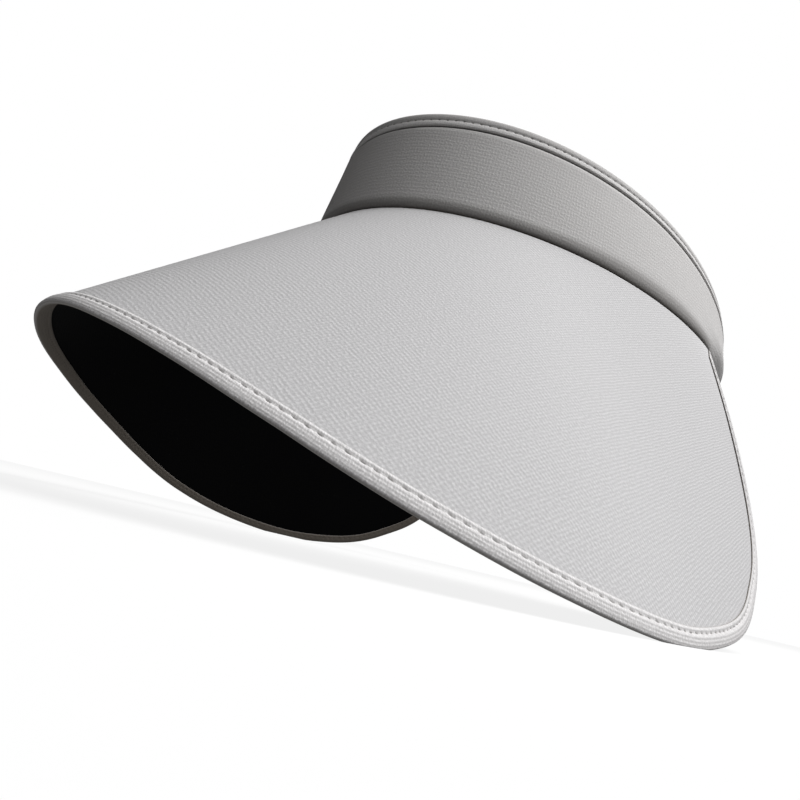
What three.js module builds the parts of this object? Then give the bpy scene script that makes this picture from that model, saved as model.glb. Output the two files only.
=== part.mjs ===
// Wide-brim open-crown sun visor, standing on the lower edges of its brim as it would on a table.
// Millimetres, +Z up. The wearer faces -Y, the wearer's left is +X, and the floor is z = 0.
import * as THREE from 'three';

// Crease: the closed curve round the head where the brim leaves the headband.
const CREASE = { halfWidth: 79, halfDepth: 107.5, templeDrop: 1.5 };
// Seam: the sewn line that closes the headband's top, under the folded tape.
const SEAM = { halfWidth: 71, halfDepth: 109.5, setBack: 3.5, frontHeight: 41, templeHeight: 39, napeHeight: 16 };

// Brim, one row for each section round the crease, mirrored left to right. The angle is taken round
// the head from the front, the heading is where that section points, the slope is below level, and
// the reach is the brim's length with its binding.
const BRIM_SECTIONS = [
  { angle: 0, heading: 0, slope: 48.5, reach: 111.5 },
  { angle: 20, heading: 26.5, slope: 48.5, reach: 116 },
  { angle: 40, heading: 53, slope: 54, reach: 128.5 },
  { angle: 57, heading: 78, slope: 59, reach: 137 },
  { angle: 74, heading: 103, slope: 65, reach: 127.5 },
  { angle: 88, heading: 124.5, slope: 67, reach: 108.5 },
  { angle: 100, heading: 142, slope: 65.5, reach: 76 },
  { angle: 110, heading: 156, slope: 59, reach: 4 },
];
const BRIM = { face: 1.0, lining: 1.0, between: 0.3, startFromCrease: 0.5, stations: 80, rows: 5 };

// Binding tape: folded round the brim's edge.
const BINDING = { width: 3.4, wall: 1.0, nose: 1.2, clearance: 0.2, noseFlat: 0.5, shortest: 0.55 };

// Headband wall, measured across (out from the wall's line) and up from the crease.
const BAND = {
  endAngle: 150, stations: 72, bulge: 1.4, creaseDepth: 2.8, flapDrop: 5, flapDepth: 4.2,
  innerMid: 3.6, core: 4.2, coreOuter: 1.6, coreInner: 2.6,
};
// Tape folded over the headband's top edge.
const TAPE = { outer: 0.1, outerInside: 1.3, innerInside: 3.3, inner: 4.4, top: 6.4, roof: 1.7, innerDrop: 3, lift: 0.4 };
// Plain elastic strap that closes the loop at the nape, sewn inside both ends of the headband.
const STRAP = { near: 4.7, thickness: 2.8, bottom: 3, height: 14, overlap: 9, stations: 18 };

// Resting pose: nose-up pitch in degrees, and how far the binding flattens where it stands.
const REST = { pitch: 4.9, flatten: 0.8 };

const rad = THREE.MathUtils.degToRad;
const BRIM_END = BRIM_SECTIONS[BRIM_SECTIONS.length - 1].angle;

// Smooth curve through one column of the section table; an odd column changes sign with the side.
function column(name, degrees, odd = false) {
  const rows = BRIM_SECTIONS;
  const mirrored = { angle: -rows[1].angle, value: odd ? -rows[1][name] : rows[1][name] };
  const knots = [mirrored, ...rows.map((row) => ({ angle: row.angle, value: row[name] }))];
  const last = knots.length - 1;
  const slopeBetween = (a, b) => (knots[b].value - knots[a].value) / (knots[b].angle - knots[a].angle);
  const slopeAt = (k) => (k === last ? slopeBetween(last - 1, last) : slopeBetween(k - 1, k + 1));
  const at = Math.min(Math.abs(degrees), knots[last].angle);
  let k = 1;
  while (k < last - 1 && at >= knots[k + 1].angle) k += 1;
  const span = knots[k + 1].angle - knots[k].angle;
  const t = (at - knots[k].angle) / span;
  const value = (2 * t ** 3 - 3 * t ** 2 + 1) * knots[k].value
    + (t ** 3 - 2 * t ** 2 + t) * span * slopeAt(k)
    + (3 * t ** 2 - 2 * t ** 3) * knots[k + 1].value
    + (t ** 3 - t ** 2) * span * slopeAt(k + 1);
  return odd && degrees < 0 ? -value : value;
}

function creasePoint(degrees) {
  const a = rad(degrees);
  const z = -CREASE.templeDrop * Math.sin(a) ** 2;
  return new THREE.Vector3(CREASE.halfWidth * Math.sin(a), -CREASE.halfDepth * Math.cos(a), z);
}

function seamPoint(degrees) {
  const a = rad(degrees);
  const lean = SEAM.frontHeight + ((SEAM.napeHeight - SEAM.frontHeight) / 2) * (1 - Math.cos(a));
  const middle = (SEAM.frontHeight + SEAM.napeHeight) / 2;
  const height = lean + (SEAM.templeHeight - middle) * Math.sin(a) ** 2;
  const y = -SEAM.halfDepth * Math.cos(a) + SEAM.setBack;
  return new THREE.Vector3(SEAM.halfWidth * Math.sin(a), y, creasePoint(degrees).z + height);
}

// A point of the brim's middle surface: out from the crease along that section's direction.
function brimSurface(degrees, distance) {
  const heading = rad(column('heading', degrees, true));
  const slope = rad(column('slope', degrees));
  const way = new THREE.Vector3(
    Math.sin(heading) * Math.cos(slope),
    -Math.cos(heading) * Math.cos(slope),
    -Math.sin(slope),
  );
  return creasePoint(degrees).addScaledVector(way, distance);
}

const sheetReach = (degrees) => column('reach', degrees) - BINDING.nose - BINDING.clearance;

// Section angles that cut the brim's edge into equal lengths, so the round corners stay round.
function edgeAngles(count) {
  const fine = 1200;
  const angles = Array.from({ length: fine + 1 }, (_, i) => BRIM_END * Math.sin(((i / fine) - 0.5) * Math.PI));
  const run = [0];
  let before = brimSurface(angles[0], sheetReach(angles[0]));
  for (let i = 1; i <= fine; i += 1) {
    const here = brimSurface(angles[i], sheetReach(angles[i]));
    run.push(run[i - 1] + here.distanceTo(before));
    before = here;
  }
  let j = 0;
  return Array.from({ length: count + 1 }, (_, i) => {
    const target = (run[fine] * i) / count;
    while (j < fine - 1 && run[j + 1] < target) j += 1;
    const part = Math.min(1, (target - run[j]) / Math.max(run[j + 1] - run[j], 1e-9));
    return angles[j] + part * (angles[j + 1] - angles[j]);
  });
}
const EDGE_ANGLES = edgeAngles(BRIM.stations);

// The sheet's own grid: along runs 0 to 1 round the edge, across runs 0 at the crease to 1 at the edge.
function sheetPoint(along, across) {
  const place = THREE.MathUtils.clamp(along, 0, 1) * BRIM.stations;
  const i = Math.min(Math.floor(place), BRIM.stations - 1);
  const atEdge = THREE.MathUtils.lerp(EDGE_ANGLES[i], EDGE_ANGLES[i + 1], place - i);
  const atCrease = BRIM_END * (2 * along - 1);
  const degrees = THREE.MathUtils.lerp(atCrease, atEdge, across);
  const distance = THREE.MathUtils.lerp(BRIM.startFromCrease, sheetReach(atEdge), across);
  return brimSurface(THREE.MathUtils.clamp(degrees, -BRIM_END, BRIM_END), distance);
}

// Place, outward normal and the direction away from the sheet at one grid point.
function sheetFrame(along, across) {
  const step = 0.004;
  const back = Math.max(along - step, 0);
  const on = Math.min(along + step, 1);
  const tangent = sheetPoint(on, across).sub(sheetPoint(back, across)).normalize();
  const inner = sheetPoint(along, Math.max(across - step, 0));
  const outer = sheetPoint(along, Math.min(across + step, 1));
  const line = outer.sub(inner).normalize();
  const normal = new THREE.Vector3().crossVectors(line, tangent).normalize();
  const away = new THREE.Vector3().crossVectors(tangent, normal).normalize();
  return { point: sheetPoint(along, across), normal, away, line };
}

// How far across the grid the binding's inner edge lies at one station.
function bindingAcross(along) {
  const frame = sheetFrame(along, 1);
  const length = sheetPoint(along, 0).distanceTo(frame.point);
  const share = BINDING.width / (length * Math.max(frame.line.dot(frame.away), 0.35));
  return 1 - Math.min(share, BINDING.shortest);
}

// A solid swept through stations that all hold the same ring of points, closed at both ends by the
// given triangles of one ring. The squares of turned sides are halved the other way, so that faces
// which lie against each other fold alike.
function sweptSolid(stations, ends, turned = () => false) {
  const count = stations[0].length;
  const positions = [];
  stations.forEach((ring) => ring.forEach((p) => positions.push(p.x, p.y, p.z)));
  const index = [];
  for (let i = 0; i + 1 < stations.length; i += 1) {
    for (let k = 0; k < count; k += 1) {
      const a = i * count + k;
      const b = i * count + ((k + 1) % count);
      if (turned(k)) index.push(a, b, a + count, b, b + count, a + count);
      else index.push(a, b, b + count, a, b + count, a + count);
    }
  }
  const lastRing = (stations.length - 1) * count;
  ends.forEach(([a, b, c]) => {
    index.push(a, c, b, a + lastRing, b + lastRing, c + lastRing);
  });
  const geometry = new THREE.BufferGeometry();
  geometry.setAttribute('position', new THREE.Float32BufferAttribute(positions, 3));
  geometry.setIndex(index);
  return facingOut(geometry);
}

// Triangles of one flat ring of points, wound the way the ring runs.
function endTriangles(outline) {
  const triangles = THREE.ShapeUtils.triangulateShape(outline, []);
  return THREE.ShapeUtils.isClockWise(outline) ? triangles.map(([a, b, c]) => [a, c, b]) : triangles;
}

// Turns every triangle over when the solid came out inside out.
function facingOut(geometry) {
  const p = geometry.attributes.position;
  const index = geometry.index.array;
  const corner = (i) => new THREE.Vector3().fromBufferAttribute(p, index[i]);
  let volume = 0;
  for (let i = 0; i < index.length; i += 3) {
    volume += corner(i).dot(corner(i + 1).cross(corner(i + 2))) / 6;
  }
  if (volume < 0) {
    for (let i = 0; i < index.length; i += 3) {
      [index[i + 1], index[i + 2]] = [index[i + 2], index[i + 1]];
    }
  }
  geometry.computeVertexNormals();
  return geometry;
}

// From the wearer's frame to the floor's: pitched, stood on the floor with the lowest cloth pressed
// flat, and centred on the origin.
function settle(group) {
  const geometries = group.children.map((mesh) => mesh.geometry);
  geometries.forEach((geometry) => geometry.rotateX(-rad(REST.pitch)));
  const box = new THREE.Box3().setFromObject(group);
  const middle = (box.min.y + box.max.y) / 2;
  geometries.forEach((geometry) => {
    geometry.translate(0, -middle, -box.min.z - REST.flatten);
    const p = geometry.attributes.position;
    for (let i = 0; i < p.count; i += 1) p.setZ(i, Math.max(p.getZ(i), 0));
    geometry.computeVertexNormals();
  });
}

// One cloth layer of the brim between two offsets from the middle surface.
function brimLayer(low, high) {
  const stations = [];
  for (let i = 0; i <= BRIM.stations; i += 1) {
    const along = i / BRIM.stations;
    const inner = bindingAcross(along);
    const shares = Array.from({ length: BRIM.rows }, (_, k) => (inner * k) / (BRIM.rows - 1));
    const frames = [...shares, 1].map((across) => sheetFrame(along, across));
    const upper = frames.map((f) => f.point.clone().addScaledVector(f.normal, high));
    const lower = frames.map((f) => f.point.clone().addScaledVector(f.normal, low)).reverse();
    stations.push([...upper, ...lower]);
  }
  const last = 2 * BRIM.rows + 1;
  const ends = Array.from({ length: BRIM.rows }, (_, k) => [
    [k, k + 1, last - k], [k + 1, last - k - 1, last - k],
  ]).flat();
  return sweptSolid(stations, ends, (k) => k > BRIM.rows);
}

// Folded tape round the edge: two legs on the cloth and a blunt nose.
function bindingTape() {
  const slot = BRIM.between / 2 + BRIM.face + BINDING.clearance;
  const full = slot + BINDING.wall;
  const nose = BINDING.clearance + BINDING.nose;
  const flat = full * BINDING.noseFlat;
  const profile = [
    { leg: true, out: 0, up: full }, { leg: false, out: 0, up: full },
    { leg: false, out: nose * 0.7, up: full * 0.86 }, { leg: false, out: nose, up: flat },
    { leg: false, out: nose, up: -flat }, { leg: false, out: nose * 0.7, up: -full * 0.86 },
    { leg: false, out: 0, up: -full }, { leg: true, out: 0, up: -full },
    { leg: true, out: 0, up: -slot }, { leg: false, out: BINDING.clearance, up: -slot },
    { leg: false, out: BINDING.clearance, up: slot }, { leg: true, out: 0, up: slot },
  ];
  const stations = [];
  for (let i = 0; i <= BRIM.stations; i += 1) {
    const along = i / BRIM.stations;
    const edge = sheetFrame(along, 1);
    const leg = sheetFrame(along, bindingAcross(along));
    stations.push(profile.map((p) => {
      const f = p.leg ? leg : edge;
      return f.point.clone().addScaledVector(f.normal, p.up).addScaledVector(f.away, p.out);
    }));
  }
  const outline = profile.map((p) => new THREE.Vector2(p.leg ? -BINDING.width : p.out, p.up));
  return sweptSolid(stations, endTriangles(outline), (k) => profile[(k + 1) % profile.length].leg);
}

// A strip of the head ring: its outline gives for each point how far up the wall and how far out.
function ringStrip(from, to, count, outlineAt) {
  const stations = [];
  for (let i = 0; i <= count; i += 1) {
    const degrees = from + ((to - from) * i) / count;
    const foot = creasePoint(degrees);
    const up = seamPoint(degrees).sub(foot);
    const height = up.length();
    up.normalize();
    const tangent = creasePoint(degrees + 0.5).sub(creasePoint(degrees - 0.5)).normalize();
    const out = new THREE.Vector3().crossVectors(tangent, up).normalize();
    stations.push(outlineAt(height).map(([rise, across]) => foot.clone()
      .addScaledVector(up, rise).addScaledVector(out, across)));
  }
  const outline = outlineAt(seamPoint(from).distanceTo(creasePoint(from)))
    .map(([rise, across]) => new THREE.Vector2(rise, across));
  return sweptSolid(stations, endTriangles(outline));
}

// Padded wall: tucked in at the crease, full in the middle, thin under the tape at the top.
const headbandOutline = (height) => [
  [0, 0], [0.08 * height, 0.5 * BAND.bulge], [0.25 * height, 0.92 * BAND.bulge],
  [0.5 * height, BAND.bulge], [0.75 * height, 0.8 * BAND.bulge], [0.93 * height, 0.4 * BAND.bulge],
  [height, 0], [height, -BAND.coreOuter], [height + BAND.core, -BAND.coreOuter],
  [height + BAND.core, -BAND.coreInner], [0.6 * height, -BAND.innerMid], [0.3 * height, -BAND.innerMid],
  [2, -BAND.flapDepth], [-BAND.flapDrop, -BAND.flapDepth], [-BAND.flapDrop, -BAND.creaseDepth],
  [0, -BAND.creaseDepth],
];

const tapeOutline = (height) => [
  [height + TAPE.lift, -TAPE.outer], [height + 0.7 * TAPE.top, -TAPE.outer],
  [height + TAPE.top, -0.3 * TAPE.inner], [height + TAPE.top, -0.7 * TAPE.inner],
  [height + 0.7 * TAPE.top, -TAPE.inner], [height - TAPE.innerDrop, -TAPE.inner],
  [height - TAPE.innerDrop, -TAPE.innerInside], [height + TAPE.top - TAPE.roof, -TAPE.innerInside],
  [height + TAPE.top - TAPE.roof, -TAPE.outerInside], [height + TAPE.lift, -TAPE.outerInside],
];

const strapOutline = () => [
  [STRAP.bottom, -STRAP.near], [STRAP.bottom + STRAP.height, -STRAP.near],
  [STRAP.bottom + STRAP.height, -STRAP.near - STRAP.thickness], [STRAP.bottom, -STRAP.near - STRAP.thickness],
];

function cloth(name, geometry, colour, roughness) {
  const material = new THREE.MeshStandardMaterial({ color: colour, roughness, metalness: 0 });
  const mesh = new THREE.Mesh(geometry, material);
  mesh.name = name;
  return mesh;
}

const half = BRIM.between / 2;
const visor = new THREE.Group();
visor.name = 'sun_visor';
visor.add(
  cloth('brim_cover', brimLayer(half, half + BRIM.face), '#c6c6c7', 0.85),
  cloth('brim_lining', brimLayer(-half - BRIM.lining, -half), '#0a0a0b', 0.95),
  cloth('brim_binding', bindingTape(), '#cdcccc', 0.85),
  cloth('headband', ringStrip(-BAND.endAngle, BAND.endAngle, BAND.stations, headbandOutline), '#a8a7a6', 0.85),
  cloth('top_tape', ringStrip(-BAND.endAngle, BAND.endAngle, BAND.stations, tapeOutline), '#9c9b9a', 0.85),
  cloth('back_strap', ringStrip(
    BAND.endAngle - STRAP.overlap, 360 - BAND.endAngle + STRAP.overlap, STRAP.stations, strapOutline,
  ), '#a3a2a1', 0.9),
);
settle(visor);

export default visor;
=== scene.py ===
# Wide-brim sun visor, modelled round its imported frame.
# The row frame: +Z up from the floor, the brim's front towards -Y, the wearer's left on +X.
import math
import bpy
import numpy as np
from mathutils import Matrix, Vector


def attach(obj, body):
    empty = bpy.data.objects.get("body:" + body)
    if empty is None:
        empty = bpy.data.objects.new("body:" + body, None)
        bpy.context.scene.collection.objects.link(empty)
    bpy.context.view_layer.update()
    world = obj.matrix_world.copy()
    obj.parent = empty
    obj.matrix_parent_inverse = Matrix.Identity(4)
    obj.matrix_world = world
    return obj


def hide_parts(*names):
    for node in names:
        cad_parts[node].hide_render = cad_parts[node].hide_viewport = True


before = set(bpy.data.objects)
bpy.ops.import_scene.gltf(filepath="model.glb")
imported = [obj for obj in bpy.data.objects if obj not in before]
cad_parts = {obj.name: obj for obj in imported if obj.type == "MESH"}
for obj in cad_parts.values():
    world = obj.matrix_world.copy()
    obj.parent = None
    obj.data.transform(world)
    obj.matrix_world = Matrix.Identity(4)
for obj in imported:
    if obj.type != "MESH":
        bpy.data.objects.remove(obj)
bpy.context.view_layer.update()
print("frame loaded:", sorted(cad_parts))

# Shapes are worked out in millimetres in the visor's own frame, then settled on the floor.
mm = 0.001
settle = {"pitch": 4.9, "forward": 39.627, "lift": 115.624, "pressedTo": 0.02}

# Curve where the brim leaves the headband, and the seam along the headband's top.
crease = {"halfWidth": 79, "halfDepth": 107.5, "templeDrop": 1.5}
seam = {"halfWidth": 71, "halfDepth": 109.5, "setBack": 3.5, "front": 41, "temple": 39, "nape": 16}

# One row for each section of the brim, mirrored left to right.
brimSections = [
    {"angle": 0, "heading": 0, "slope": 48.5, "reach": 111.5},
    {"angle": 20, "heading": 26.5, "slope": 48.5, "reach": 116},
    {"angle": 40, "heading": 53, "slope": 54, "reach": 128.5},
    {"angle": 57, "heading": 78, "slope": 59, "reach": 137},
    {"angle": 74, "heading": 103, "slope": 65, "reach": 127.5},
    {"angle": 88, "heading": 124.5, "slope": 67, "reach": 108.5},
    {"angle": 100, "heading": 142, "slope": 65.5, "reach": 76},
    {"angle": 110, "heading": 156, "slope": 59, "reach": 4},
]
brimEnd = brimSections[-1]["angle"]

# The cut edge isn't quite even: so many mm more or less of reach at each angle.
edgeTrims = [(0, 0.2), (16, 0.45), (23, 0.75), (29, 0.15), (34, -0.3), (39, 0.05), (43, 0.7), (47, 0.75),
             (51, 0.15), (56, -0.45), (61, -0.5), (66, -0.2), (70, 0.2), (76, 0.3), (84, 0.75), (92, 0.4),
             (100, 0.1), (110, 0)]

brim = {
    "faceTop": 0.5,         # cloth's outer face above the middle surface
    "faceBottom": 0.05,
    "liningTop": -0.05,
    "liningBottom": -0.45,
    "startFromCrease": 0.5,
    "edgeMargin": 1.35,     # the binding reaches this far past the cloth
    "columns": 560,
    "rows": 26,
    "rim": 0.004,           # share of the way across at which an extra row keeps the inner rim crisp
    "outerRim": 0.997,
    "edgeSamples": 2401,
}


def smoothCurve(angles, values, degrees, odd=False):
    # smooth curve through values given at angles, mirrored left to right
    angles, values = np.array(angles, float), np.array(values, float)
    side = -1 if odd else 1
    angles = np.concatenate([[-angles[1]], angles])
    values = np.concatenate([[side * values[1]], values])
    slopes = np.zeros(len(angles))
    slopes[1:-1] = (values[2:] - values[:-2]) / (angles[2:] - angles[:-2])
    slopes[-1] = (values[-1] - values[-2]) / (angles[-1] - angles[-2])
    at = np.minimum(np.abs(degrees), angles[-1])
    k = np.clip(np.searchsorted(angles, at, side="right") - 1, 1, len(angles) - 2)
    span = angles[k + 1] - angles[k]
    t = (at - angles[k]) / span
    value = (2 * t**3 - 3 * t**2 + 1) * values[k] + (t**3 - 2 * t**2 + t) * span * slopes[k]
    value += (3 * t**2 - 2 * t**3) * values[k + 1] + (t**3 - t**2) * span * slopes[k + 1]
    return np.where(degrees < 0, -value, value) if odd else value


def column(name, degrees, odd=False):
    angles = [row["angle"] for row in brimSections]
    return smoothCurve(angles, [row[name] for row in brimSections], degrees, odd)


def creasePoint(degrees):
    a = np.radians(degrees)
    z = -crease["templeDrop"] * np.sin(a) ** 2
    return np.stack([crease["halfWidth"] * np.sin(a), -crease["halfDepth"] * np.cos(a), z], -1)


def seamPoint(degrees):
    a = np.radians(degrees)
    lean = seam["front"] + (seam["nape"] - seam["front"]) / 2 * (1 - np.cos(a))
    middle = (seam["front"] + seam["nape"]) / 2
    height = lean + (seam["temple"] - middle) * np.sin(a) ** 2
    y = -seam["halfDepth"] * np.cos(a) + seam["setBack"]
    return np.stack([seam["halfWidth"] * np.sin(a), y, creasePoint(degrees)[..., 2] + height], -1)


def brimSurface(degrees, distance):
    # the brim's middle surface: straight out from the crease in that section's direction
    heading = np.radians(column("heading", degrees, odd=True))
    slope = np.radians(column("slope", degrees))
    flat = np.cos(slope)
    way = np.stack([np.sin(heading) * flat, -np.cos(heading) * flat, -np.sin(slope)], -1)
    return creasePoint(degrees) + way * np.asarray(distance)[..., None]


def sheetReach(degrees):
    trim = smoothCurve([row[0] for row in edgeTrims], [row[1] for row in edgeTrims], degrees)
    return column("reach", degrees) + trim - brim["edgeMargin"]


def length(vectors):
    return np.linalg.norm(vectors, axis=-1)


def unit(vectors):
    return vectors / np.maximum(length(vectors), 1e-9)[..., None]


# The cloth's edge, cut into equal lengths so that the round rear corners stay round.
edgeDegrees = brimEnd * np.sin(np.linspace(-math.pi / 2, math.pi / 2, brim["edgeSamples"]))
edgeLine = brimSurface(edgeDegrees, sheetReach(edgeDegrees))
edgeRun = np.concatenate([[0], np.cumsum(length(np.diff(edgeLine, axis=0)))])
edgeLength = edgeRun[-1]


def sheetPoint(along, across):
    # along runs 0 to 1 round the edge, across runs 0 at the crease to 1 at the edge
    along, across = np.broadcast_arrays(along, across)
    share = np.clip(along, 0, 1)
    atEdge = np.interp(share * edgeLength, edgeRun, edgeDegrees)
    atCrease = brimEnd * (2 * share - 1)
    degrees = atCrease + (atEdge - atCrease) * across
    start = brim["startFromCrease"]
    distance = start + (sheetReach(atEdge) - start) * across
    return brimSurface(np.clip(degrees, -brimEnd, brimEnd), distance)


def sheetFrame(along, across):
    # place on the cloth, its outward normal, and the way off its edge
    step = 0.003    # share of the cloth on each side that gives its directions
    along, across = np.broadcast_arrays(along, across)
    ahead = sheetPoint(np.minimum(along + step, 1), across)
    behind = sheetPoint(np.maximum(along - step, 0), across)
    outer = sheetPoint(along, np.minimum(across + step, 1))
    inner = sheetPoint(along, np.maximum(across - step, 0))
    tangent, line = unit(ahead - behind), unit(outer - inner)
    normal = unit(np.cross(line, tangent))
    away = unit(np.cross(tangent, normal))
    return sheetPoint(along, across), normal, away, line


def settled(points):
    # from the visor's own frame to the floor's, in metres; the lowest cloth is pressed flat
    a = -math.radians(settle["pitch"])
    x, y, z = points[..., 0], points[..., 1], points[..., 2]
    newY = y * math.cos(a) - z * math.sin(a) + settle["forward"]
    newZ = y * math.sin(a) + z * math.cos(a) + settle["lift"]
    return np.stack([x, newY, np.maximum(newZ, settle["pressedTo"])], -1) * mm


def cutFlat(stations):
    # unrolls rows of straight lines onto a plane, as the cloth was cut; gives x, y for each end
    inner, outer = stations[:, 0], stations[:, 1]
    flat = np.zeros((len(stations), 2, 2))
    flat[0, 1] = (0, length(outer[0] - inner[0]))

    def third(p, q, fromP, fromQ, side):
        # a point at known distances from two others, on the given side of their line
        base = np.linalg.norm(q - p)
        x = (base**2 + fromP**2 - fromQ**2) / (2 * base)
        y = math.sqrt(max(fromP**2 - x**2, 0))
        ex = (q - p) / base
        return p + x * ex + side * y * np.array([-ex[1], ex[0]])

    for i in range(1, len(stations)):
        toInner = length(inner[i] - inner[i - 1])
        cross = length(inner[i] - outer[i - 1])
        flat[i, 0] = third(flat[i - 1, 0], flat[i - 1, 1], toInner, cross, -1)
        toOuter = length(outer[i] - inner[i])
        along = length(outer[i] - outer[i - 1])
        flat[i, 1] = third(flat[i, 0], flat[i - 1, 1], toOuter, along, -1)
    return flat


def sweptMesh(name, rings, uvs, shade=None):
    # a closed piece through stations that hold the same ring of points; uvs has one more per ring,
    # and shade says from 0 to 1 how far each point's colour is mixed toward a darker one: painted shade in
    # creases, ditches and needle holes, and on the binding partly the tape's darker inner side
    stationCount, ringCount = rings.shape[:2]
    points = settled(rings).reshape(-1, 3)
    i, k = np.meshgrid(np.arange(stationCount - 1), np.arange(ringCount), indexing="ij")
    i, k = i.ravel(), k.ravel()
    after = (k + 1) % ringCount
    quads = np.stack([i * ringCount + k, i * ringCount + after,
                      (i + 1) * ringCount + after, (i + 1) * ringCount + k], -1)
    cornerUv = np.stack([uvs[i, k], uvs[i, k + 1], uvs[i + 1, k + 1], uvs[i + 1, k]], 1)
    middle = points.mean(0)
    a, b, c = (points[quads[:, n]] - middle for n in (0, 1, 2))
    d = points[quads[:, 3]] - middle
    volume = (np.einsum("ij,ij->i", a, np.cross(b, c)) + np.einsum("ij,ij->i", a, np.cross(c, d))).sum()
    firstEnd = np.arange(ringCount)[::-1]
    lastEnd = np.arange(ringCount) + (stationCount - 1) * ringCount
    firstUv, lastUv = uvs[0, :ringCount][::-1], uvs[-1, :ringCount]
    if volume < 0:
        quads, cornerUv = quads[:, ::-1], cornerUv[:, ::-1]
        firstEnd, lastEnd = firstEnd[::-1], lastEnd[::-1]
        firstUv, lastUv = firstUv[::-1], lastUv[::-1]
    faces = quads.tolist() + [firstEnd.tolist(), lastEnd.tolist()]
    mesh = bpy.data.meshes.new(name)
    mesh.from_pydata(points.tolist(), [], faces)
    flatUv = np.concatenate([cornerUv.reshape(-1, 2), firstUv, lastUv]) * mm
    layer = mesh.uv_layers.new(name="Cloth")
    layer.data.foreach_set("uv", flatUv.astype(np.float32).ravel())
    # the stored attribute carries painted shade (on the binding partly the tape's darker inner side) to the
    # material
    if shade is not None:
        shadeAndDyeMix = np.broadcast_to(shade, (stationCount, ringCount)).astype(np.float32)
        mesh.attributes.new("PaintedShadeAndInnerDye", "FLOAT", "POINT").data.foreach_set("value", shadeAndDyeMix.ravel())
    smooth = np.ones(len(faces), bool)
    smooth[-2:] = False
    mesh.polygons.foreach_set("use_smooth", smooth)
    mesh.update()
    piece = bpy.data.objects.new(name, mesh)
    bpy.context.scene.collection.objects.link(piece)
    return piece


def smoothLoop(points, perSegment):
    # closed curve through the points, with a few samples between each two
    points = np.array(points, float)
    before, after = np.roll(points, 1, 0), np.roll(points, -1, 0)
    later = np.roll(points, -2, 0)
    t = np.linspace(0, 1, perSegment, endpoint=False)[:, None, None]
    curve = 0.5 * (2 * points + (after - before) * t + (2 * before - 5 * points + 4 * after - later) * t**2
                   + (3 * points - before - 3 * after + later) * t**3)
    return curve.transpose(1, 0, 2).reshape(-1, points.shape[1])


def ringUvs(alongRun, outline):
    # x is the length along the piece, y the length round its outline, the same or one for each station
    closed = np.concatenate([outline, outline[..., :1, :]], -2)
    steps = length(np.diff(closed, axis=-2))
    around = np.concatenate([np.zeros(steps.shape[:-1] + (1,)), np.cumsum(steps, -1)], -1)
    x = np.asarray(alongRun)[:, None]
    return np.stack(np.broadcast_arrays(x, around), -1)


def joinedTubes(name, paths, radius, sides=6):
    # short round threads, one for each path, as one mesh
    points, faces, uvs = [], [], []
    spin = np.linspace(0, 2 * math.pi, sides, endpoint=False)
    aside = np.array([0.31, 0.17, 0.94])    # a direction that no thread runs in
    grain = 0.3                             # mm of cloth map for each step along a thread
    blunt = 0.04                            # square of the share of the radius left at a thread's tips
    for path in paths:
        count = len(path)
        tangent = unit(np.gradient(path, axis=0))
        sideways = unit(np.cross(tangent, aside))
        upward = np.cross(sideways, tangent)
        taper = np.sqrt(np.clip(1 - np.linspace(-1, 1, count) ** 4, blunt, 1)) * radius
        ring = sideways[:, None] * np.cos(spin)[None, :, None] + upward[:, None] * np.sin(spin)[None, :, None]
        tube = path[:, None] + ring * taper[:, None, None]
        first = len(points)
        points.extend(tube.reshape(-1, 3).tolist())
        for i in range(count - 1):
            for k in range(sides):
                after = (k + 1) % sides
                a, b = first + i * sides + k, first + i * sides + after
                faces.append([a, b, b + sides, a + sides])
                uvs.extend([(i, k), (i, k + 1), (i + 1, k + 1), (i + 1, k)])
        faces.append([first + k for k in range(sides)][::-1])
        faces.append([first + (count - 1) * sides + k for k in range(sides)])
        uvs.extend([(0, k) for k in range(sides)][::-1] + [(count, k) for k in range(sides)])
    mesh = bpy.data.meshes.new(name)
    mesh.from_pydata(settled(np.array(points)).tolist(), [], faces)
    layer = mesh.uv_layers.new(name="Cloth")
    layer.data.foreach_set("uv", (np.array(uvs, np.float32) * grain * mm).ravel())
    mesh.polygons.foreach_set("use_smooth", np.ones(len(faces), bool))
    mesh.update()
    piece = bpy.data.objects.new(name, mesh)
    bpy.context.scene.collection.objects.link(piece)
    return piece


def place(piece, material, slot, *nodes):
    piece.data.materials.append(material)
    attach(piece, "root")
    if nodes:
        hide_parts(*nodes)
    return piece


def add(tree, kind, settings=None, links=None):
    # adds one node; settings go to its properties or inputs, links come from other nodes' outputs
    node = tree.nodes.new(kind)
    for key, value in (settings or {}).items():
        if isinstance(key, str) and hasattr(node, key) and key not in node.inputs:
            setattr(node, key, value)
        else:
            node.inputs[key].default_value = value
    for key, output in (links or {}).items():
        tree.links.new(output, node.inputs[key])
    return node


def linear(hexColour, alpha=1.0):
    # sRGB hex to the linear colour that shaders use
    parts = [int(hexColour[i:i + 2], 16) / 255 for i in (1, 3, 5)]
    return tuple(p / 12.92 if p <= 0.04045 else ((p + 0.055) / 1.055) ** 2.4 for p in parts) + (alpha,)


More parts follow.
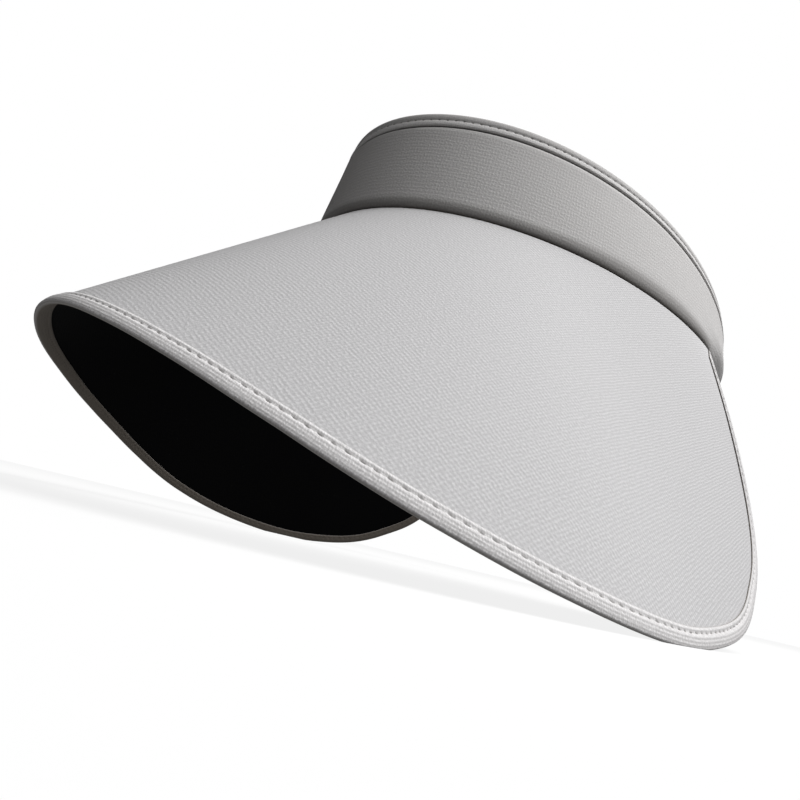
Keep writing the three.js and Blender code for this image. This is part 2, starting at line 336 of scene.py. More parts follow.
def clothMaterial(name, look):
    # woven or knitted cloth: two sets of ribs, a little unevenness in thread and dye, matt with some sheen
    material = bpy.data.materials.new(name)
    material.use_nodes = True
    tree = material.node_tree
    tree.nodes.clear()
    flat = add(tree, "ShaderNodeUVMap", {"uv_map": "Cloth"}).outputs[0]
    drift = add(tree, "ShaderNodeTexNoise", {"Scale": 1 / (look["unevenMm"] * mm), "Detail": 3.0},
                {"Vector": flat}).outputs["Fac"]
    small = add(tree, "ShaderNodeTexNoise", {"Scale": 1 / (look["threadMm"] * mm), "Detail": 2.0},
                {"Vector": flat}).outputs["Fac"]
    wobble = add(tree, "ShaderNodeMath", {"operation": "MULTIPLY", 1: look["wobbleMm"] * mm}, {0: drift})
    waves = []
    for pitchMm, turn in ((look["ribMm"], look["ribTurn"]), (look["crossMm"], look["crossTurn"])):
        # one rib every pitch, from 0 to 1 in height, at right angles to turn degrees
        a = math.radians(turn)
        way = (math.cos(a), math.sin(a), 0)
        run = add(tree, "ShaderNodeVectorMath", {"operation": "DOT_PRODUCT", 1: way}, {0: flat})
        run = run.outputs["Value"]
        run = add(tree, "ShaderNodeMath", {"operation": "ADD"}, {0: run, 1: wobble.outputs[0]})
        often = 2 * math.pi / (pitchMm * mm)
        turns = add(tree, "ShaderNodeMath", {"operation": "MULTIPLY", 1: often}, {0: run.outputs[0]})
        wave = add(tree, "ShaderNodeMath", {"operation": "SINE"}, {0: turns.outputs[0]})
        raised = {"operation": "MULTIPLY_ADD", 1: 0.5, 2: 0.5}
        half = add(tree, "ShaderNodeMath", raised, {0: wave.outputs[0]})
        waves.append(half.outputs[0])
    weave = add(tree, "ShaderNodeMath", {"operation": "MULTIPLY_ADD", 1: look["crossShare"]},
                {0: waves[1], 2: waves[0]})
    # 0.35 to 0.65 and 0.3 to 0.7 are about where a noise's values lie
    spread = {"From Min": 0.35, "From Max": 0.65, "To Min": 1 - look["uneven"], "To Max": 1 + look["uneven"]}
    loose = add(tree, "ShaderNodeMapRange", spread, {"Value": small})
    weave = add(tree, "ShaderNodeMath", {"operation": "MULTIPLY"}, {0: weave.outputs[0], 1: loose.outputs[0]})
    height = add(tree, "ShaderNodeMath", {"operation": "MULTIPLY_ADD", 1: look["threadShare"]},
                 {0: small, 2: weave.outputs[0]}).outputs[0]
    top = 1 + look["crossShare"] + look["threadShare"]
    heights = {"From Min": 0.15 * top, "From Max": 0.85 * top}
    tint = add(tree, "ShaderNodeMapRange", heights, {"Value": height})
    dyes = {"data_type": "RGBA", 6: linear(look["valley"]), 7: linear(look["ridge"])}
    colour = add(tree, "ShaderNodeMix", dyes, {0: tint.outputs[0]}).outputs[2]
    patches = {"From Min": 0.3, "From Max": 0.7, "To Min": 1 - look["patchy"], "To Max": 1 + look["patchy"]}
    worn = add(tree, "ShaderNodeMapRange", patches, {"Value": drift})
    colour = add(tree, "ShaderNodeVectorMath", {"operation": "SCALE"}, {0: colour, 3: worn.outputs[0]})
    colour = colour.outputs[0]
    # painted shade: a stored attribute mixes in a darker colour where shade falls, in creases, ditches and
    # needle holes; on the binding this colour is partly the tape's darker inner side
    if "fold" in look:
        shadeAndDyeAmount = add(tree, "ShaderNodeAttribute", {"attribute_name": "PaintedShadeAndInnerDye"}).outputs["Fac"]
        colour = add(tree, "ShaderNodeMix", {"data_type": "RGBA", 7: linear(look["fold"])},
                     {0: shadeAndDyeAmount, 6: colour}).outputs[2]
    bump = add(tree, "ShaderNodeBump", {"Strength": look["bump"], "Distance": look["depthMm"] * mm},
               {"Height": height})
    shader = add(tree, "ShaderNodeBsdfPrincipled",
                 {"Roughness": look["roughness"], "IOR": 1.5, "Specular IOR Level": look["gloss"],
                  "Sheen Weight": look["sheen"], "Sheen Roughness": 0.5},
                 {"Base Color": colour, "Normal": bump.outputs[0]})
    add(tree, "ShaderNodeOutputMaterial", None, {"Surface": shader.outputs[0]})
    return material


# Real threads and stitches of knit here are finer than a pixel, so every rib is drawn coarser than it is.
# Polyester cloth, woven and piece-dyed grey: two crossing sets of fine threads, matt, low contrast.
# The threads' directions follow the photo, carried back onto the flat cut.
brimLook = {
    "ribMm": 1.18, "ribTurn": 8, "crossMm": 0.96, "crossTurn": 101, "crossShare": 1.15,
    "threadMm": 0.85, "threadShare": 2.0, "uneven": 0.5, "unevenMm": 5, "wobbleMm": 0.9,
    "valley": "#c2c1c2", "ridge": "#d4d3d4", "patchy": 0.006, "bump": 0.27, "depthMm": 0.1,
    "roughness": 0.85, "gloss": 0.2, "sheen": 0.03,
}
# Black polyester lining, plain woven: it shows almost nothing but a faint thread.
liningLook = {
    "ribMm": 1.0, "ribTurn": 0, "crossMm": 1.0, "crossTurn": 90, "crossShare": 0.8,
    "threadMm": 0.7, "threadShare": 0.4, "uneven": 0.2, "unevenMm": 20, "wobbleMm": 0.3,
    "valley": "#050506", "ridge": "#0c0c0d", "patchy": 0.05, "bump": 0.2, "depthMm": 0.08,
    "roughness": 0.95, "gloss": 0.1, "sheen": 0.0,
}
# Woven grosgrain tape, folded and sewn: lengthwise lines and a fine cross grain, lighter than the cloth.
# Its darker mix colour is partly the tape's darker inner side and partly painted shade, on the tape's
# underside, in its needle holes and along its inner edge.
bindingLook = {
    "ribMm": 0.84, "ribTurn": 90, "crossMm": 0.62, "crossTurn": 3, "crossShare": 0.45,
    "threadMm": 0.7, "threadShare": 1.4, "uneven": 0.4, "unevenMm": 5, "wobbleMm": 0.12,
    "valley": "#c8c6c6", "ridge": "#f0eeee", "fold": "#746d65", "patchy": 0.015, "bump": 0.42, "depthMm": 0.1,
    "roughness": 0.8, "gloss": 0.2, "sheen": 0.04,
}
# Smooth polyester knit over foam: fine rows run along the band and finer columns up it; a darker dye lot.
bandLook = {
    "ribMm": 1.76, "ribTurn": 90, "crossMm": 1.2, "crossTurn": 178, "crossShare": 0.9,
    "threadMm": 0.8, "threadShare": 2.6, "uneven": 0.5, "unevenMm": 5, "wobbleMm": 1.4,
    # its darker mix colour is painted shade, laid in the tuck over the brim and in the ditch along the top
    "valley": "#bdbbba", "ridge": "#cdcbca", "fold": "#383129", "patchy": 0.01, "bump": 0.24, "depthMm": 0.1,
    "roughness": 0.82, "gloss": 0.2, "sheen": 0.04,
}
# The same knit folded into a narrow tape, with lighter colours than the band's as painted light; its darker
# mix colour is painted shade in the ditch, the needle holes and over the upper roll.
tapeLook = dict(bandLook, ribMm=1.1, crossMm=0.9, valley="#c6c4c3", ridge="#dad8d7")
# Flat woven elastic: close lengthwise cords.
elasticLook = {
    "ribMm": 1.6, "ribTurn": 90, "crossMm": 1.0, "crossTurn": 0, "crossShare": 0.35,
    "threadMm": 0.6, "threadShare": 0.3, "uneven": 0.2, "unevenMm": 8, "wobbleMm": 0.2,
    "valley": "#a09f9e", "ridge": "#bdbcbb", "patchy": 0.03, "bump": 0.6, "depthMm": 0.2,
    "roughness": 0.8, "gloss": 0.25, "sheen": 0.05,
}
# Spun polyester sewing thread: twisted strands.
threadLook = {
    "ribMm": 0.5, "ribTurn": 50, "crossMm": 0.6, "crossTurn": 0, "crossShare": 0.2,
    "threadMm": 0.5, "threadShare": 0.3, "uneven": 0.2, "unevenMm": 5, "wobbleMm": 0.1,
    "valley": "#c4c3c2", "ridge": "#dddcdb", "patchy": 0.02, "bump": 0.3, "depthMm": 0.05,
    "roughness": 0.7, "gloss": 0.25, "sheen": 0.0,
}
# The same thread dyed to match the tape's inner side.
bobbinLook = dict(threadLook, valley="#6b665f", ridge="#817b73")

wovenCloth = clothMaterial("WovenPolyesterGrey", brimLook)
liningCloth = clothMaterial("WovenLiningBlack", liningLook)
grosgrain = clothMaterial("WovenGrosgrainTape", bindingLook)
knit = clothMaterial("KnittedBandGrey", bandLook)
foldedKnit = clothMaterial("FoldedKnitTape", tapeLook)
elastic = clothMaterial("WovenElasticGrey", elasticLook)
thread = clothMaterial("SpunPolyesterThread", threadLook)
bobbinThread = clothMaterial("SpunPolyesterBobbinThread", bobbinLook)
print("materials made")

# Brim: an outer cloth and a black lining, each a thin curved sheet.
along = np.linspace(0, 1, brim["columns"] + 1)
across = np.concatenate([[0, brim["rim"]], np.linspace(0, 1, brim["rows"])[1:-1], [brim["outerRim"], 1]])


def brimSheet(name, high, low):
    point, normal, _, _ = sheetFrame(along[:, None], across[None, :])
    upper = point + normal * high
    lower = (point + normal * low)[:, ::-1]
    rings = np.concatenate([upper, lower], 1)
    flat = cutFlat(np.stack([sheetPoint(along, 0), sheetPoint(along, 1)], 1))
    spread = flat[:, :1] + (flat[:, 1:] - flat[:, :1]) * across[None, :, None]
    uvs = np.concatenate([spread, spread[:, ::-1], spread[:, :1]], 1)
    return sweptMesh(name, rings, uvs), flat


brimCloth, cut = brimSheet("brimCloth", brim["faceTop"], brim["faceBottom"])
place(brimCloth, wovenCloth, "brim_cloth", "brim_cover")
brimLining, _ = brimSheet("brimLining", brim["liningTop"], brim["liningBottom"])
place(brimLining, liningCloth, "lining_cloth", "brim_lining")

print("brim made, edge length mm", round(edgeLength))

# Binding: a tape folded round the edge, sewn through near its inner edge.
binding = {
    "cutWidth": 10.5,       # of the tape, opened out
    "width": 3.35,          # from the cloth's edge to the tape's inner edge
    "shortest": 0.55,       # most of a narrow brim end that the tape may cover
    "slantest": 0.35,       # least share of a cloth line that runs square to the edge
    "stitch": 3.1,          # stitch length
    "stationsPerStitch": 8,
    "pit": -1.93,           # the sewn line, from the cloth's edge
    "pitDepth": 0.36,
    "pitHalf": 0.6,         # half length of the slanting dent at each needle hole
    "pitAcross": 0.12,
    "pitShade": 0.6,
    "pitTurn": 13,          # degrees between a dent and the edge
    "pitUneven": 0.18,      # guided by hand, holes differ this much in length and place
    "turnUneven": 3,        # and this many times as much in their turn
    "puff": 0.03,           # how far the roll swells between holes
    "puffMiddle": 0.6,
    "rollFromPit": 0.5,     # middle of the swelling on the roll, and on the ridge
    "ridgeFromPit": -0.6,
    "ridgePuff": 0.7,
    "puffHalf": 0.3,
    "skin": 0.6,            # above and below this height lies the tape's outer face
    "leastHeight": 0.53,    # a dent stops here, over the cloth
    "cordPitch": 0.84,      # the tape's lengthwise cords
    "cordHeight": 0.03,
    "cordAbove": 0.73,      # they show above this height
    "cordFrom": -1.45,      # and outward of here
    "footShade": 0.95,      # shadow line where the tape's inner edge meets the cloth
    "footFrom": -3.1,
    "footTop": 0.98,
    "footFade": 0.1,
    "lightTo": 0.42,        # below this height on the nose the colour darkens towards the tape's darker inner side, partly painted shade
    "lightFade": 0.4,
    "noseShade": 0.58,
    "darkFrom": -0.55,      # and below this one it shows fully
    "darkFade": 0.3,
    "threadFrom": 0.22,     # share of a stitch at which the thread comes up, and its share between holes
    "threadSpan": 0.56,
    "threadSlant": 0.1,
    "threadTop": 0.64,      # heights of the thread above and below the cloth's middle, and its bow
    "threadUnder": 0.82,
    "threadBow": 0.12,
    "threadRadius": 0.15,
}
# The folded tape's outline: across it from the cloth's edge, and above the cloth's middle.
ridgeRows = [(-3.2, 0.56), (-3.34, 0.7), (-3.34, 0.86), (-3.22, 0.98), (-2.95, 1.03), (-2.6, 1.02),
             (-2.25, 0.98)]
pitRows = [(-2.05, 0.9), (-1.93, 0.86), (-1.8, 0.91), (-1.62, 1.04)]
rollRows = [(x, 1.15 - 0.04 * (x + 1.42) - 0.06 * (x + 1.42) ** 2) for x in np.arange(-1.42, 0.7, 0.19)]
noseRows = [(0.88, 0.72), (1.1, 0.62), (1.26, 0.5), (1.36, 0.36), (1.41, 0.2), (1.42, 0.0), (1.38, -0.2),
            (1.27, -0.45), (1.1, -0.7), (0.88, -0.88)]
underRows = [(0.5, -1.0), (-0.3, -1.12), (-1.5, -1.12), (-1.9, -1.04), (-2.4, -1.0), (-3.1, -1.0),
             (-3.33, -0.7)]
slotRows = [(-3.1, -0.47), (-0.1, -0.47), (0.2, 0.0), (-0.1, 0.52), (-3.0, 0.52)]
stitchCount = int(round(edgeLength / binding["stitch"]))
bindingStations = stitchCount * binding["stationsPerStitch"]
bindingAlong = np.linspace(0, 1, bindingStations + 1)


def bindingInner(share):
    # how far across the cloth the tape's inner edge lies
    point, _, away, line = sheetFrame(share, 1.0)
    whole = length(point - sheetPoint(share, 0.0))
    part = binding["width"] / (whole * np.maximum((line * away).sum(-1), binding["slantest"]))
    return 1 - np.minimum(part, binding["shortest"])


def onBinding(share, x, y):
    # a point of the binding from its place along the edge, across the tape and above the middle surface
    inner = bindingInner(share)
    back = np.clip(-x / binding["width"], 0, 1.05)
    point, normal, _, _ = sheetFrame(share, 1 - (1 - inner) * back)
    _, _, away, _ = sheetFrame(share, 1.0)
    return point + normal * np.asarray(y)[..., None] + away * np.maximum(x, 0)[..., None]


def bindingTape():
    rows = np.array(ridgeRows + pitRows + rollRows + noseRows + underRows + slotRows)
    x, y = rows[None, :, 0], rows[None, :, 1]
    onTop = (y > binding["cordAbove"]) & (x > binding["cordFrom"])
    y = y + binding["cordHeight"] * np.cos(2 * math.pi * x / binding["cordPitch"]) * onTop
    # painted shadow line along the tape's inner edge where it meets the cloth
    foot = np.clip((binding["footTop"] - y) / binding["footFade"], 0, 1) * (x < binding["footFrom"]) * (y > 0)
    foot = foot * binding["footShade"]
    # darker below the nose: partly the tape's darker inner side, partly painted shade on its underside
    nose = np.clip((binding["lightTo"] - y) / binding["lightFade"], 0, 1) * binding["noseShade"]
    under = np.clip((binding["darkFrom"] - y) / binding["darkFade"], 0, 1) * (1 - binding["noseShade"])
    inner = np.where(foot > 0, foot, nose + under)
    phase = bindingAlong[:, None] * stitchCount
    hole = np.round(phase).astype(int)
    chance = np.random.default_rng(7).uniform(-1, 1, (3, stitchCount + 1))[:, hole] * binding["pitUneven"]
    onward = (phase - hole) * binding["stitch"] + chance[0]    # signed distance to the nearest hole
    turn = math.radians(binding["pitTurn"]) * (1 + binding["turnUneven"] * chance[1])
    side = x - binding["pit"]
    lengthwise = (onward * np.cos(turn) + side * np.sin(turn)) * (1 + chance[2])
    crosswise = side * np.cos(turn) - onward * np.sin(turn)
    outer = (y > binding["skin"]) | (y < -binding["skin"])
    dent = np.exp(-(lengthwise / binding["pitHalf"]) ** 4 - (crosswise / binding["pitAcross"]) ** 2)
    between = np.sin(math.pi * (phase % 1)) ** 2
    onRoll = np.exp(-((side - binding["rollFromPit"]) / binding["puffHalf"]) ** 2)
    onRidge = np.exp(-((side - binding["ridgeFromPit"]) / binding["puffHalf"]) ** 2)
    swell = binding["puff"] * (between - binding["puffMiddle"]) * (onRoll + binding["ridgePuff"] * onRidge)
    lift = swell - binding["pitDepth"] * dent
    least = np.minimum(np.abs(y), binding["leastHeight"])
    swollen = np.sign(y) * np.maximum(np.abs(y) + lift * outer, least)
    # painted shade in the needle holes
    shade = np.clip(inner + binding["pitShade"] * dent * outer, 0, 1)
    rings = onBinding(*np.broadcast_arrays(bindingAlong[:, None], x, swollen))
    return sweptMesh("brimBinding", rings, ringUvs(bindingAlong * edgeLength, rows), shade)


brimBinding = bindingTape()
place(brimBinding, grosgrain, "binding_tape", "brim_binding")


def bindingStitches():
    # thread from hole to hole, drawn almost wholly into the tape, light above the cloth and dark below it
    upper, lower = [], []
    bow = np.linspace(0, 1, 7)
    for i in range(1, stitchCount - 1):
        share = (i + binding["threadFrom"] + binding["threadSpan"] * bow) / stitchCount
        rise = binding["threadBow"] * np.sin(math.pi * bow) ** 0.5
        slant = binding["pit"] + binding["threadSlant"] * (bow - 0.5)
        upper.append(onBinding(share, slant, binding["threadTop"] + rise))
        lower.append(onBinding(share, slant, -binding["threadUnder"] - rise))
    radius = binding["threadRadius"]
    return joinedTubes("brimStitches", upper, radius), joinedTubes("bobbinStitches", lower, radius)


brimStitches, bobbinStitches = bindingStitches()
place(brimStitches, thread, "binding_tape")
place(bobbinStitches, bobbinThread, "binding_tape")
print("binding made,", stitchCount, "stitches")

# Headband: padded, tucked under where it meets the brim, with a sewn ditch along its top.
band = {
    "end": 150,                 # degrees from the front to each end
    "stations": 420,
    "perSegment": 3,
    "fuller": 0.45,             # padding is fuller at the temples: it swells over the first two angles
    "fullerFrom": (58, 84),
    "fullerTo": (92, 114),      # and thins again over these
    "fullerAbove": 1,           # mm up from the crease
    "edgeFree": (104, 126),     # behind the brim's end there is no seam to hold the lower edge in
    "tuckOpens": (108, 118),    # nor a tuck, so the tuck's painted shade fades out over these angles
    "endRound": 4.0,            # length over which each end closes
    "endFull": 0.25,            # share of the padding's depth at the very end
    "fill": 0.55,
}


def ringPlace(degrees, rise, out):
    # a point on the head ring: up the wall from the crease, and out from it
    foot = creasePoint(degrees)
    up = unit(seamPoint(degrees) - foot)
    tangent = unit(creasePoint(degrees + 0.5) - creasePoint(degrees - 0.5))
    outward = unit(np.cross(tangent, up))
    return foot + up * np.asarray(rise)[..., None] + outward * np.asarray(out)[..., None]


def ringDegrees(first, last, count):
    # angles that cut the seam line into equal lengths
    fine = np.linspace(first, last, 1201)
    run = np.concatenate([[0], np.cumsum(length(np.diff(seamPoint(fine), axis=0)))])
    at = np.linspace(0, run[-1], count + 1)
    return np.interp(at, run, fine), at


def easing(value, start, end):
    # 0 before start, 1 after end, smooth between them
    t = min(max((value - start) / (end - start), 0), 1)
    return t * t * (3 - 2 * t)


def bandOutline():
    # columns: share of the wall's height, extra rise, distance out, painted shade (darkest in the tuck and
    # the ditch, fading up the padding's underside), and the rise and distance behind the brim's end, where
    # the lower edge is free
    rows = [
        (0, 0.2, -2.0, 1, 3.2, -3.1),       # in the tuck, close over the brim's inner edge
        (0, 0.2, -1.0, 1, 3.0, -2.9),
        (0, 0.25, -0.1, 1, 3.0, -2.6),
        (0, 0.5, 0.55, 0.82, 3.1, -2.3),
        (0, 1.15, 1.1, 0.6, 3.5, -1.9),     # underside of the padding
        (0, 2.2, 1.4, 0.48, 4.1, -1.4),
        (0, 3.3, 1.52, 0.4, 4.9, -0.9),
        (0, 4.4, 1.56, 0.2, 5.7, -0.4),
        (0, 5.6, 1.55, 0.05, 6.6, 0.1),
        (0, 7.5, 1.5, 0, 7.7, 0.6),         # fullest line
        (0.3, 2.0, 1.4, 0, 2.0, 1.4),
        (0.55, 0, 1.25, 0, 0, 1.25),
        (0.8, 0, 1.1, 0, 0, 1.1),
        (1, -3.4, 1.1, 0, -3.4, 1.1),
        (1, -2.2, 1.02, 0, -2.2, 1.02),
        (1, -1.3, 0.82, 0, -1.3, 0.82),      # shoulder beside the ditch
        (1, -0.75, 0.52, 0, -0.75, 0.52),
        (1, -0.42, 0.2, 0.1, -0.42, 0.2),
        (1, -0.28, -0.15, 0.6, -0.28, -0.15),
        (1, -0.24, -1.0, 1, -0.24, -1.0),
        (1, -0.2, -1.6, 1, -0.2, -1.6),      # bottom of the ditch
        (1, 0.6, -1.8, 1, 0.6, -1.8),
        (1, 1.2, -1.7, 1, 1.2, -1.7),
        (1, 3.9, -1.9, 0, 3.9, -1.9),       # core inside the folded tape
        (1, 4.2, -2.2, 0, 4.2, -2.2),
        (1, 3.9, -2.55, 0, 3.9, -2.55),
        (1, -1.0, -2.9, 0, -1.0, -2.9),
        (0.6, 0, -3.3, 0, 0, -3.3),
        (0.3, 0, -3.5, 0, 0, -3.5),
        (0, 2.5, -3.9, 0, 4.6, -4.1),
        (0, -2.0, -4.2, 0, 3.9, -4.05),
        (0, -4.6, -4.2, 0, 3.4, -3.85),      # flap sewn under the brim
        (0, -5.0, -3.6, 0.5, 3.15, -3.6),
        (0, -4.6, -2.4, 1, 3.1, -3.4),
        (0, -1.5, -1.9, 1, 3.15, -3.25),
    ]
    return np.array(rows)


def bandWall():
    degrees, run = ringDegrees(-band["end"], band["end"], band["stations"])
    heights = length(seamPoint(degrees) - creasePoint(degrees))
    rows = bandOutline()
    endRun = np.minimum(run, run[-1] - run)
    closing = np.clip(endRun / band["endRound"], 0, 1)
    slim = np.sqrt(np.clip(1 - (1 - closing) ** 2, 0, 1))
    rings, shades = [], []
    for i in range(len(degrees)):
        share, rise, out, fold, freeRise, freeOut = rows.T
        turn = abs(degrees[i])
        loose = easing(turn, *band["edgeFree"])
        opened = easing(turn, *band["tuckOpens"])
        wide = band["fuller"] * easing(turn, *band["fullerFrom"]) * (1 - easing(turn, *band["fullerTo"]))
        raised = rise * (1 + wide * (share == 0) * (rise > band["fullerAbove"]) * (out > 0))
        raised = raised + (freeRise - raised) * loose
        out = out + (freeOut - out) * loose
        out = out * np.where(out > 0, band["endFull"] + (1 - band["endFull"]) * slim[i], 1)
        # the tuck's painted shade fades out behind the brim's end
        fold = fold * (1 - opened * (share == 0))
        outline = np.stack([share * heights[i] + raised, out, fold], -1)
        loop = smoothLoop(outline, band["perSegment"])
        rings.append(ringPlace(np.full(len(loop), degrees[i]), loop[:, 0], loop[:, 1]))
        shades.append(np.clip(loop[:, 2], 0, 1))
    rings = np.array(rings)
    return sweptMesh("paddedHeadband", rings, ringUvs(run, rings), np.array(shades)), run[-1]


headband, bandLength = bandWall()
place(headband, knit, "band_cloth", "headband")
print("headband made, length mm", round(bandLength))

# Folded tape along the headband's top, with its own row of stitches.
tape = {
    "cutWidth": 20,         # of the tape, opened out
    "stitch": 3.35,         # stitch length
    "stationsPerStitch": 7,
    "stitchRise": 3.3,      # the sewn line, above the seam
    "holeDepth": 0.7,
    "holeHalf": 0.35,       # half length of a needle hole's dent, and its width
    "holeAcross": 0.28,
    "holeShade": 0.8,
    "puff": 0.04,           # how far the tape swells between holes, on each side of the line
    "puffBeside": 0.8,
    "puffHalf": 0.4,
    "outerFrom": -0.9,      # farther out than this lies the tape's outer face
    "threadFrom": 0.14,     # share of a stitch at which the thread comes up, and its share between holes
    "threadSpan": 0.72,
    "threadOut": 0.36,
    "threadBow": 0.14,
    "threadRadius": 0.16,
}
tapeRows = [
    # rise above the seam, distance out, painted shade (in the ditch, and fainter over the upper roll)
    (0.5, -1.4, 1), (0.2, -0.9, 1), (0.12, 0.1, 0.6), (0.16, 0.8, 0.1), (0.45, 1.12, 0), (1.5, 1.08, 0),
    (2.4, 0.9, 0), (2.95, 0.62, 0), (3.3, 0.52, 0.05), (3.65, 0.6, 0.15), (4.2, 0.74, 0.2), (5.5, 0.7, 0.22),
    (6.9, 0.25, 0.24), (7.6, -0.8, 0.24), (7.7, -2.0, 0.2), (7.2, -3.2, 0.1), (6.0, -4.1, 0), (3.0, -4.4, 0),
    (0.0, -4.45, 0), (-2.4, -4.4, 0), (-2.7, -4.0, 0), (-2.3, -3.5, 0), (1.0, -3.2, 0), (4.4, -2.9, 0),
    (4.8, -2.2, 0), (4.4, -1.6, 0.5), (2.0, -1.5, 1),
]
tapeStitches = int(round(bandLength / tape["stitch"]))
tapeDegrees, tapeRun = ringDegrees(-band["end"], band["end"], tapeStitches * tape["stationsPerStitch"])


def topTape():
    loop = smoothLoop(tapeRows, 3)
    heights = length(seamPoint(tapeDegrees) - creasePoint(tapeDegrees))[:, None]
    phase = np.linspace(0, tapeStitches, len(tapeDegrees))[:, None]
    hole = np.exp(-((np.abs(phase - np.round(phase)) * tape["stitch"]) / tape["holeHalf"]) ** 4)
    between = np.sin(math.pi * (phase % 1)) ** 2
    rise, out = loop[None, :, 0], loop[None, :, 1]
    outer = out > tape["outerFrom"]
    fromLine = rise - tape["stitchRise"]
    near = np.exp(-(fromLine / tape["holeAcross"]) ** 2) * outer
    beside = np.exp(-((np.abs(fromLine) - tape["puffBeside"]) / tape["puffHalf"]) ** 2) * outer
    moved = out - tape["holeDepth"] * hole * near + tape["puff"] * between * beside
    degrees = np.broadcast_to(tapeDegrees[:, None], moved.shape)
    rings = ringPlace(degrees, heights + rise, moved)
    # painted shade from the rows, deepened in the needle holes
    shade = np.clip(np.clip(loop[None, :, 2], 0, 1) + tape["holeShade"] * hole * near, 0, 1)
    return sweptMesh("topTape", rings, ringUvs(tapeRun, loop[:, :2]), shade)


foldedTape = topTape()
place(foldedTape, foldedKnit, "band_tape", "top_tape")


def topStitches():
    paths = []
    bow = np.linspace(0, 1, 6)
    for i in range(1, tapeStitches - 1):
        at = (i + tape["threadFrom"] + tape["threadSpan"] * bow) / tapeStitches * tapeRun[-1]
        degrees = np.interp(at, tapeRun, tapeDegrees)
        height = length(seamPoint(degrees) - creasePoint(degrees))
        out = tape["threadOut"] + tape["threadBow"] * np.sin(math.pi * bow) ** 0.5
        paths.append(ringPlace(degrees, height + tape["stitchRise"], out))
    return joinedTubes("topStitches", paths, tape["threadRadius"])


tapeThread = topStitches()
place(tapeThread, thread, "band_tape")
print("top tape made,", tapeStitches, "stitches")

# Plain elastic strap at the nape, sewn inside both ends of the headband.
strap = {
    "cutWidth": 15,
    "near": 4.7,            # its outer face, inside the head ring
    "thickness": 1.8,
    "bottom": 3,            # above the crease
    "height": 14,
    "rounded": 0.35,        # how far its long edges bulge
    "overlap": 9,           # degrees sewn inside each end of the band
    "stations": 90,
    "rows": 30,
}


def backStrap():
    first, last = band["end"] - strap["overlap"], 360 - band["end"] + strap["overlap"]
    degrees, run = ringDegrees(first, last, strap["stations"])
    low, high = strap["bottom"], strap["bottom"] + strap["height"]
    outer, inner = -strap["near"], -strap["near"] - strap["thickness"]
    middle = (outer + inner) / 2
    rise = np.linspace(low, high, strap["rows"])
    loop = [(r, outer) for r in rise] + [(high + strap["rounded"], middle)]
    loop += [(r, inner) for r in rise[::-1]] + [(low - strap["rounded"], middle)]
    loop = np.array(loop)
    everywhere = np.broadcast_to(degrees[:, None], (len(degrees), len(loop)))
    rings = ringPlace(everywhere, loop[None, :, 0], loop[None, :, 1])
    return sweptMesh("backStrap", rings, ringUvs(run, rings)), run[-1]


napeStrap, strapLength = backStrap()
place(napeStrap, elastic, "elastic", "back_strap")
print("strap made, length mm", round(strapLength))

# Camera at the photograph's angle to the visor, just above the floor.
view = {
    "place": (215.5, -127.0, 5.2),
    "azimuth": 62.63,
    "elevation": -14.23,
    "roll": 13.22,
    "lens": 26.48,
    "sensor": 36,
    "clip": (0.005, 100),
}


def makeCamera():
    a, e, r = (math.radians(view[k]) for k in ("azimuth", "elevation", "roll"))
    back = Vector((math.sin(a) * math.cos(e), -math.cos(a) * math.cos(e), math.sin(e)))
    level = Vector((math.cos(a), math.sin(a), 0))
    upright = back.cross(level)
    right = level * math.cos(r) + upright * math.sin(r)
    up = upright * math.cos(r) - level * math.sin(r)
    data = bpy.data.cameras.new("Camera")
    data.lens = view["lens"]
    data.sensor_width = view["sensor"]
    data.clip_start, data.clip_end = view["clip"]
    camera = bpy.data.objects.new("Camera", data)
    camera.matrix_world = Matrix([[right.x, up.x, back.x, view["place"][0] * mm],
                                  [right.y, up.y, back.y, view["place"][1] * mm],
                                  [right.z, up.z, back.z, view["place"][2] * mm], [0, 0, 0, 1]])
    bpy.context.scene.collection.objects.link(camera)
    bpy.context.scene.camera = camera


makeCamera()

# Studio: white surroundings, two soft lamps high over the visor's left and rear, and light off the floor.
studio = {
    "backdrop": 1.0,        # what the camera sees behind the visor
    "fill": 0.035,          # light from the rest of the room
    "bounce": 0.25,         # light that the white floor returns
    "horizon": 0.02,        # half height of the change from one to the other
    "near": {"towards": (0.25, 0.43, 0.87), "distance": 0.7, "size": 0.4, "watts": 4.3},
    "far": {"towards": (0.5, 0.36, 0.79), "distance": 2.0, "strength": 2.18, "spread": 40},
    "floor": {"colour": "#636363", "glow": 0.86, "half": 30.0, "roughness": 0.9},
}
visorMiddle = Vector((0, 0, 0.09))


def hang(name, data, towards, distance):
    lamp = bpy.data.objects.new(name, data)
    lamp.location = visorMiddle + Vector(towards) * distance
    lamp.rotation_euler = Vector(towards).to_track_quat("Z", "Y").to_euler()
    lamp.visible_camera = False
    bpy.context.scene.collection.objects.link(lamp)


def makeLamps():
    near = bpy.data.lights.new("roundSoftbox", "AREA")
    near.shape = "DISK"
    near.size = studio["near"]["size"]
    near.energy = studio["near"]["watts"]
    hang("roundSoftbox", near, studio["near"]["towards"], studio["near"]["distance"])
    far = bpy.data.lights.new("largeSoftLamp", "SUN")    # far off and wide, so that it falls evenly
    far.energy = studio["far"]["strength"]
    far.angle = math.radians(studio["far"]["spread"])
    hang("largeSoftLamp", far, studio["far"]["towards"], studio["far"]["distance"])


makeLamps()


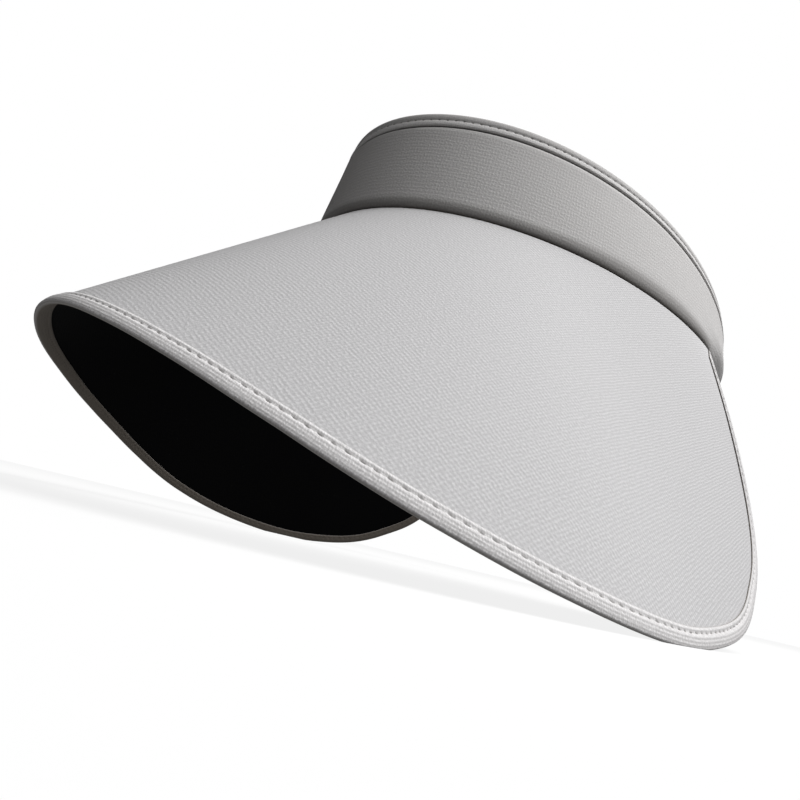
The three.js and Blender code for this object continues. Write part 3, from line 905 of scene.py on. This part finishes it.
def makeSurroundings():
    world = bpy.data.worlds.new("Studio")
    bpy.context.scene.world = world
    world.use_nodes = True
    tree = world.node_tree
    tree.nodes.clear()
    seen = add(tree, "ShaderNodeLightPath").outputs["Is Camera Ray"]
    way = add(tree, "ShaderNodeTexCoord").outputs["Generated"]
    height = add(tree, "ShaderNodeSeparateXYZ", None, {0: way}).outputs["Z"]
    light = add(tree, "ShaderNodeMapRange", {"From Min": -studio["horizon"], "From Max": studio["horizon"],
                                            "To Min": studio["bounce"], "To Max": studio["fill"]},
                {"Value": height}).outputs[0]
    soft = add(tree, "ShaderNodeBackground", {"Color": (1, 1, 1, 1)}, {"Strength": light})
    white = add(tree, "ShaderNodeBackground", {"Color": (1, 1, 1, 1), "Strength": studio["backdrop"]})
    both = add(tree, "ShaderNodeMixShader", None, {0: seen, 1: soft.outputs[0], 2: white.outputs[0]})
    add(tree, "ShaderNodeOutputWorld", None, {"Surface": both.outputs[0]})


def makeFloor():
    mesh = bpy.data.meshes.new("studioFloor")
    half = studio["floor"]["half"]
    corners = [(-half, -half, 0), (half, -half, 0), (half, half, 0), (-half, half, 0)]
    mesh.from_pydata(corners, [], [(0, 1, 2, 3)])
    floor = bpy.data.objects.new("studioFloor", mesh)
    bpy.context.scene.collection.objects.link(floor)
    # opal acrylic lit from below, so that it stays white and shadows on it are faint
    material = bpy.data.materials.new("OpalAcrylicLitFromBelow")
    material.use_nodes = True
    shader = material.node_tree.nodes["Principled BSDF"]
    shader.inputs["Base Color"].default_value = linear(studio["floor"]["colour"])
    shader.inputs["Roughness"].default_value = studio["floor"]["roughness"]
    shader.inputs["Specular IOR Level"].default_value = 0.0
    shader.inputs["Emission Color"].default_value = (1, 1, 1, 1)
    shader.inputs["Emission Strength"].default_value = studio["floor"]["glow"]
    floor.data.materials.append(material)
    floor.visible_diffuse = False
    floor.visible_glossy = False


makeSurroundings()
makeFloor()
settings = bpy.context.scene.view_settings
settings.view_transform = "Standard"
settings.look = "None"
print("studio made")

bpy.context.view_layer.update()
